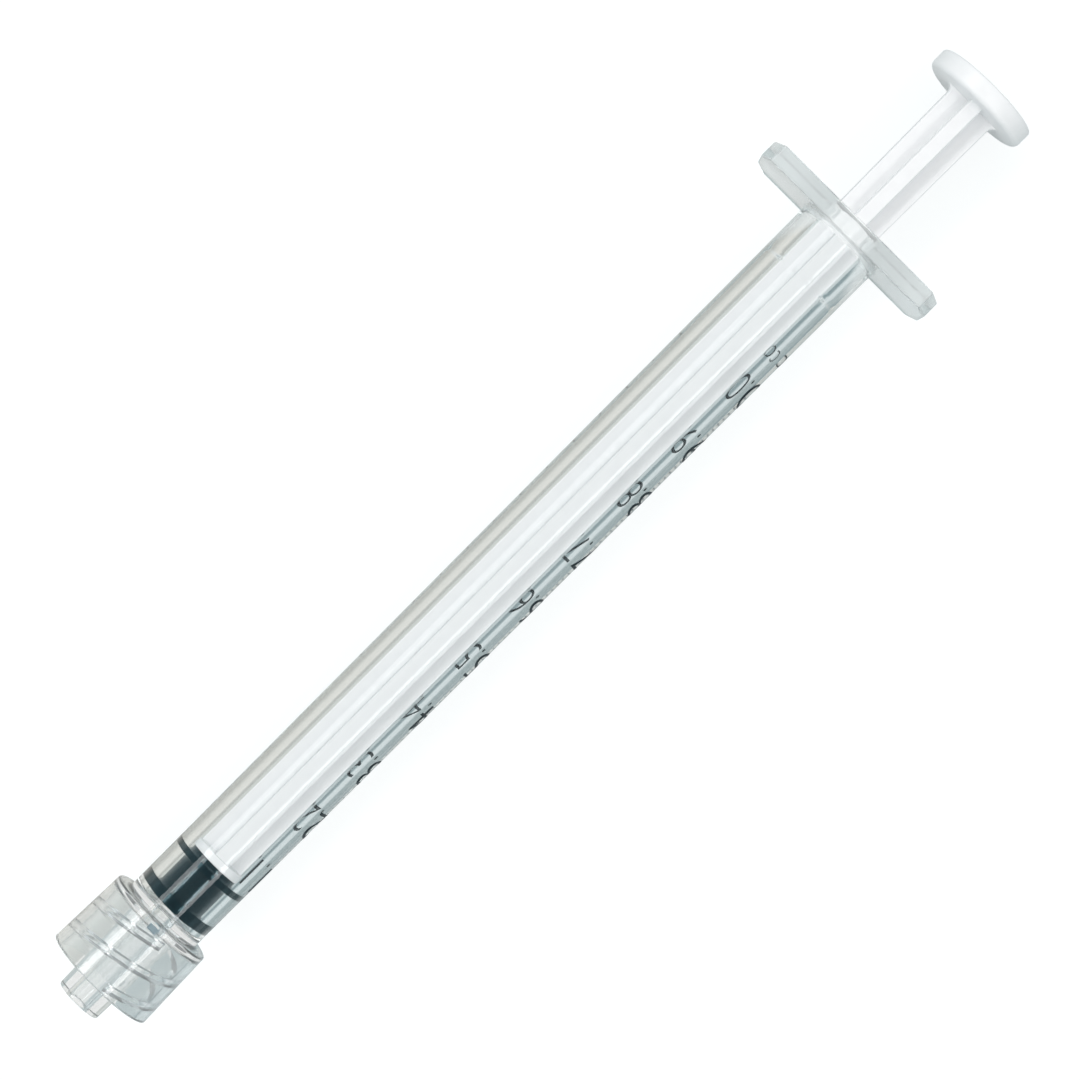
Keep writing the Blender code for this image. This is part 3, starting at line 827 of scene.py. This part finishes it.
class SYRINGE_OT_add_scale(bpy.types.Operator):
    """Print the scale onto the barrel: numerals, unit and lines"""

    bl_idname = "syringe.add_scale"
    bl_label = "Printed scale"

    def execute(self, context):
        scene = context.scene
        sizes = scene.scale_sizes
        radius = print_radius(scene)
        pieces = scale_lines(sizes, radius)
        for number in range(1, 11):
            foot = sizes.zero_place + 10.0 * sizes.division * number + sizes.numeral_height / 2.0
            text = "1.0" if number == 10 else f".{number}"
            right = round_place(radius, NUMERAL_ANGLE + NUMERAL_DRIFT * number)
            pieces.append(numeral(text, foot, right, sizes.numeral_height, NUMERAL_WIDTH))
        foot = sizes.zero_place + UNIT_PLACE * sizes.division
        right = round_place(radius, UNIT_ANGLE)
        pieces.append(numeral("cc", foot, right, UNIT_HEIGHT, UNIT_WIDTH))
        alone(pieces[0])
        for piece in pieces[1:]:
            piece.select_set(True)
        bpy.ops.object.join()
        scale = bpy.context.active_object
        scale.name = "scale_print"
        scale.data.name = "scale_print"
        self.wrap(scale, radius)
        self.lay_on_barrel(scale, sizes, radius)
        tint = tuple(scene.syringe_colours.ink)
        # Screen-printed ink: matt, blue-black, with a slightly uneven coat.
        finish = {"roughness": 0.55, "ior": 1.5, "size": 0.3 * MM, "depth": 0.002 * MM}
        ink = opaque("screen_printed_ink", tint, **finish)
        finished(scale, ink, "barrel", "black_rubber")
        return {"FINISHED"}

    def wrap(self, scale, radius):
        """Cut the flat print into narrow strips and bend it round the syringe's axis."""
        edited(scale)
        low = min(vertex.co.z for vertex in scale.data.vertices)
        high = max(vertex.co.z for vertex in scale.data.vertices)
        count = math.ceil((high - low) / (radius * math.radians(BEND_STEP)))
        for cut in range(1, count):
            bpy.ops.mesh.select_all(action="SELECT")
            height = low + (high - low) * cut / count
            plane = {"plane_co": (0.0, 0.0, height), "plane_no": (0.0, 0.0, 1.0)}
            bpy.ops.mesh.bisect(**plane, threshold=WELD / 10.0)
        bpy.ops.object.mode_set(mode="OBJECT")
        angle = (high - low) / radius
        modified(scale, "SIMPLE_DEFORM", deform_method="BEND", deform_axis="X", angle=angle)

    def lay_on_barrel(self, scale, sizes, radius):
        """Lay the bent print down on the barrel's outside and give it the thickness of its ink."""
        centred = Matrix.Translation((0.0, -radius, 0.0))
        upright = Matrix.Rotation(-math.pi / 2.0, 4, "Y")
        turned_and_moved(scale, laid_down() @ upright @ centred)
        barrel = bpy.data.objects["barrel_moulding"]
        settings = {"wrap_method": "NEAREST_SURFACEPOINT", "wrap_mode": "ABOVE_SURFACE"}
        modified(scale, "SHRINKWRAP", target=barrel, offset=INK_LIFT, **settings)
        modified(scale, "SOLIDIFY", thickness=sizes.ink_thickness, offset=1.0)


# ---- Stage ----

AXIS_PLACE_OF_CAMERA = 52.76 * MM
CAMERA_DISTANCE = 0.3
CAMERA_LENS = 128.5
CAMERA_SENSOR = 36.0
CAMERA_SHIFT = (-0.01643, -0.01761)
CAMERA_NEAR = 0.01
STRIP_DISTANCE = 0.4
# Strip lights: lean from overhead and breadth in degrees, length in metres, and radiance.
STRIPS = {
    "left_strip": {"lean": 33.5, "reach": 0.5, "breadth": 12.0, "radiance": 3.8},
    "right_strip": {"lean": -28.0, "reach": 0.24, "breadth": 9.0, "radiance": 4.7},
}
# The room's strength: on matt surfaces, overhead in a mirror, and at a mirror's right and left.
ROOM_FILL = 0.84
ROOM_OVERHEAD = 0.08
ROOM_SIDES = (0.28, 0.4)
TABLE_SIZE = 1.6
TABLE_LIFT = 0.78
# Beyond the tube the glow is plain along the syringe: painted light on the left and painted shade on
# the right, changing from its right to its left colour under the axis.
GLOW_RIGHT = "B8BCBC"
GLOW_LEFT = "C2C2C0"
GLOW_TURN = (-5.0 * MM, 1.0 * MM)
TUBE_END = (30.0 * MM, 32.0 * MM)
# Two painted patches in the glow: a painted shadow straight below the flange and a painted pool of
# light straight below the collar.
FLANGE_PAINTED_SHADOW = "909999"
FLANGE_SHADOW_PLACE = 34.6 * MM
FLANGE_SHADOW_REACH = 1.0 * MM
COLLAR_PAINTED_LIGHT = "D0CAC7"
COLLAR_LIGHT_END = -39.5 * MM
COLLAR_LIGHT_REACH = 2.4 * MM
# Glow of the table under the tube, as clear plastic shows it: painted light and shade in bands beside
# and under the syringe, with a painted shadow under its axis. Millimetres across it, then the colour.
PAINTED_TABLE_BANDS = (
    (-23.0, "ADB5B6"),
    (-21.5, "194248"),
    (-12.0, "194248"),
    (-10.8, "A2AAAC"),
    (-9.0, "ADB4B5"),
    (-6.2, "B3B8B9"),
    (-5.6, "7C8889"),
    (-2.0, "7C8889"),
    (-1.6, "616F73"),
    (-0.4, "616F73"),
    (0.4, "B1ADA4"),
    (1.5, "99958D"),
    (2.8, "99958D"),
    (4.2, "AFACA3"),
    (5.5, "BCB6AD"),
    (10.5, "BFB9B0"),
    (12.6, "89857D"),
    (19.5, "848179"),
    (21.5, "ADB5B6"),
)
BANDS_REACH = 24.0 * MM


class SYRINGE_OT_add_stage(bpy.types.Operator):
    """Set up the pale table, the strip lights, the surroundings and the camera"""

    bl_idname = "syringe.add_stage"
    bl_label = "Stage"

    def execute(self, context):
        self.table(context)
        self.surroundings(context)
        for name, strip in STRIPS.items():
            self.strip_light(name, **strip)
        self.camera(context)
        return {"FINISHED"}

    def painted_table_glow(self, tree):
        """Colour of the table's glow as gloss and clear plastic show it: painted light and shade."""
        place = add_node(tree, "ShaderNodeTexCoord").outputs["Object"]
        way = add_node(tree, "ShaderNodeSeparateXYZ", {0: place}).outputs
        inputs = {"Value": way["Y"], "From Min": -BANDS_REACH, "From Max": BANDS_REACH}
        share = add_node(tree, "ShaderNodeMapRange", inputs).outputs[0]
        # Painted light and shade: bands of glow across the table under the tube.
        ramp = add_node(tree, "ShaderNodeValToRGB", {0: share})
        stops = ramp.color_ramp.elements
        stops.remove(stops[1])
        for number, (across, code) in enumerate(PAINTED_TABLE_BANDS):
            position = 0.5 + across * MM / (2.0 * BANDS_REACH)
            stop = stops.new(position) if number else stops[0]
            stop.position = position
            stop.color = (*linear(code), 1.0)
        # Painted light on the left side and painted shade on the right side of the glow beyond the
        # tube.
        inputs = {"Value": way["Y"], "From Min": GLOW_TURN[0], "From Max": GLOW_TURN[1]}
        side = add_node(tree, "ShaderNodeMapRange", inputs).outputs[0]
        inputs = {0: side, 6: (*linear(GLOW_RIGHT), 1.0), 7: (*linear(GLOW_LEFT), 1.0)}
        plain = add_node(tree, "ShaderNodeMix", inputs, data_type="RGBA").outputs[2]
        # Painted shadow in the glow, straight below the flange.
        inputs = {0: way["X"], 1: FLANGE_SHADOW_PLACE, 2: FLANGE_SHADOW_REACH}
        under_flange = add_node(tree, "ShaderNodeMath", inputs, operation="COMPARE").outputs[0]
        inputs = {0: under_flange, 6: plain, 7: (*linear(FLANGE_PAINTED_SHADOW), 1.0)}
        plain = add_node(tree, "ShaderNodeMix", inputs, data_type="RGBA").outputs[2]
        inputs = {"Value": way["X"], "From Min": TUBE_END[0], "From Max": TUBE_END[1]}
        behind = add_node(tree, "ShaderNodeMapRange", inputs).outputs[0]
        inputs = {0: behind, 6: ramp.outputs[0], 7: plain}
        glow = add_node(tree, "ShaderNodeMix", inputs, data_type="RGBA").outputs[2]
        # Painted pool of light in the glow, straight below the collar.
        inputs = {0: way["X"], 1: COLLAR_LIGHT_END}
        front = add_node(tree, "ShaderNodeMath", inputs, operation="LESS_THAN").outputs[0]
        inputs = {0: way["Y"], 1: 0.0, 2: COLLAR_LIGHT_REACH}
        middle = add_node(tree, "ShaderNodeMath", inputs, operation="COMPARE").outputs[0]
        inputs = {0: front, 1: middle}
        under_collar = add_node(tree, "ShaderNodeMath", inputs, operation="MULTIPLY").outputs[0]
        inputs = {0: under_collar, 6: glow, 7: (*linear(COLLAR_PAINTED_LIGHT), 1.0)}
        return add_node(tree, "ShaderNodeMix", inputs, data_type="RGBA").outputs[2]

    def table(self, context):
        """A pale table top that looks white and keeps a soft shadow."""
        table = added(bpy.ops.mesh.primitive_plane_add, "table_top", size=TABLE_SIZE)
        # Matt laminate, mid-grey to the lamps. Its glow lifts it to white for the camera, and less so
        # for gloss and clear plastic, which see painted light and shade in it.
        material, tree, output = new_material("matt_grey_laminate")
        path = add_node(tree, "ShaderNodeLightPath").outputs
        inputs = {0: path["Is Glossy Ray"], 1: path["Is Transmission Ray"]}
        reflected = add_node(tree, "ShaderNodeMath", inputs, operation="MAXIMUM").outputs[0]
        inputs = {0: path["Is Camera Ray"], 1: reflected}
        strength = add_node(tree, "ShaderNodeMath", inputs, operation="MAXIMUM").outputs[0]
        inputs = {0: path["Is Camera Ray"], 6: self.painted_table_glow(tree)}
        inputs |= {7: (TABLE_LIFT, TABLE_LIFT, TABLE_LIFT, 1.0)}
        glow = add_node(tree, "ShaderNodeMix", inputs, data_type="RGBA").outputs[2]
        glow = add_node(tree, "ShaderNodeEmission", {"Color": glow, "Strength": strength})
        tint = (*context.scene.syringe_colours.table, 1.0)
        matt = add_node(tree, "ShaderNodeBsdfDiffuse", {"Color": tint})
        both = add_node(tree, "ShaderNodeAddShader", {0: matt.outputs[0], 1: glow.outputs[0]})
        tree.links.new(both.outputs[0], output.inputs["Surface"])
        table.data.materials.append(material)

    def surroundings(self, context):
        """A pale room that lights evenly, and that gloss and clear plastic see darker overhead."""
        world = bpy.data.worlds.new("pale_room")
        world.use_nodes = True
        context.scene.world = world
        tree = world.node_tree
        tree.nodes.clear()
        direction = add_node(tree, "ShaderNodeTexCoord").outputs["Generated"]
        way = add_node(tree, "ShaderNodeSeparateXYZ", {0: direction}).outputs
        path = add_node(tree, "ShaderNodeLightPath").outputs
        inputs = {"Value": way["Y"], "From Min": -1.0, "To Min": ROOM_SIDES[0], "To Max": ROOM_SIDES[1]}
        across = add_node(tree, "ShaderNodeMapRange", inputs).outputs[0]
        inputs = {0: way["Z"], 2: across, 3: ROOM_OVERHEAD}
        room = add_node(tree, "ShaderNodeMix", inputs, data_type="FLOAT").outputs[0]
        inputs = {0: path["Is Diffuse Ray"], 2: room, 3: ROOM_FILL}
        room = add_node(tree, "ShaderNodeMix", inputs, data_type="FLOAT").outputs[0]
        inputs = {0: path["Is Camera Ray"], 2: room, 3: 1.0}
        strength = add_node(tree, "ShaderNodeMix", inputs, data_type="FLOAT").outputs[0]
        colours = context.scene.syringe_colours
        inputs = {0: way["Z"], 6: (*colours.fill_side, 1.0), 7: (*colours.fill_top, 1.0)}
        lighting = add_node(tree, "ShaderNodeMix", inputs, data_type="RGBA").outputs[2]
        inputs = {0: way["Z"], 6: (*colours.mirrored_side, 1.0), 7: (*colours.mirrored_top, 1.0)}
        mirrored = add_node(tree, "ShaderNodeMix", inputs, data_type="RGBA").outputs[2]
        inputs = {0: path["Is Diffuse Ray"], 6: mirrored, 7: lighting}
        tint = add_node(tree, "ShaderNodeMix", inputs, data_type="RGBA").outputs[2]
        back = add_node(tree, "ShaderNodeBackground", {"Color": tint, "Strength": strength})
        add_node(tree, "ShaderNodeOutputWorld", {"Surface": back.outputs[0]})

    def strip_light(self, name, lean, reach, breadth, radiance):
        """A long softbox parallel to the syringe, leaning from overhead."""
        lamp = bpy.data.lights.new(name, "AREA")
        lamp.shape = "RECTANGLE"
        lamp.size = reach
        lamp.size_y = STRIP_DISTANCE * math.radians(breadth)
        lamp.energy = radiance * math.pi * lamp.size * lamp.size_y
        holder = bpy.data.objects.new(name, lamp)
        bpy.context.scene.collection.objects.link(holder)
        turn = Matrix.Rotation(-math.radians(lean), 4, "X")
        holder.matrix_world = turn @ Matrix.Translation((0.0, 0.0, STRIP_DISTANCE))

    def camera(self, context):
        """The photograph's view: straight down on the syringe, which lies across it at 45 degrees."""
        camera = bpy.data.cameras.new("camera")
        camera.lens = CAMERA_LENS
        camera.sensor_width = CAMERA_SENSOR
        camera.shift_x, camera.shift_y = CAMERA_SHIFT
        camera.clip_start = CAMERA_NEAR
        holder = bpy.data.objects.new("camera", camera)
        context.scene.collection.objects.link(holder)
        place = laid_down()
        along = place.to_3x3() @ Vector((0.0, 0.0, 1.0))
        left = Vector((0.0, 1.0, 0.0))
        up = along.cross(left)
        right_way = (along - left).normalized()
        top_way = (along + left).normalized()
        foot = place @ Vector((0.0, 0.0, AXIS_PLACE_OF_CAMERA))
        turn = Matrix((right_way, top_way, up)).transposed().to_4x4()
        holder.matrix_world = Matrix.Translation(foot + up * CAMERA_DISTANCE) @ turn
        context.scene.camera = holder
        context.scene.view_settings.view_transform = "Standard"


class SYRINGE_PT_panel(bpy.types.Panel):
    """Lists the pieces of the syringe and their sizes"""

    bl_idname = "SYRINGE_PT_panel"
    bl_label = "Syringe"
    bl_space_type = "VIEW_3D"
    bl_region_type = "UI"
    bl_category = "Syringe"

    def draw(self, context):
        for operator in OPERATORS:
            self.layout.operator(operator.bl_idname)
        for name in GROUPS:
            group = getattr(context.scene, name)
            box = self.layout.box()
            for entry in group.__annotations__:
                box.prop(group, entry)


GROUPS = {
    "barrel_sizes": BarrelSizes,
    "plunger_sizes": PlungerSizes,
    "scale_sizes": ScaleSizes,
    "syringe_colours": SyringeColours,
}
OPERATORS = (
    SYRINGE_OT_add_barrel,
    SYRINGE_OT_add_gasket,
    SYRINGE_OT_add_plunger,
    SYRINGE_OT_add_scale,
    SYRINGE_OT_add_stage,
)


def register():
    """Register the classes and hang their settings on the scene."""
    for group in GROUPS.values():
        bpy.utils.register_class(group)
    for operator in OPERATORS:
        bpy.utils.register_class(operator)
    bpy.utils.register_class(SYRINGE_PT_panel)
    for name, group in GROUPS.items():
        setattr(bpy.types.Scene, name, bpy.props.PointerProperty(type=group))


def unregister():
    """Take the settings off the scene and unregister the classes."""
    for name in GROUPS:
        delattr(bpy.types.Scene, name)
    for listed in (SYRINGE_PT_panel, *OPERATORS, *GROUPS.values()):
        bpy.utils.unregister_class(listed)


def main():
    """Model the syringe and its stage."""
    register()
    bpy.ops.syringe.add_barrel()
    bpy.ops.syringe.add_gasket()
    bpy.ops.syringe.add_plunger()
    bpy.ops.syringe.add_scale()
    bpy.ops.syringe.add_stage()


if __name__ == "__main__":
    main()
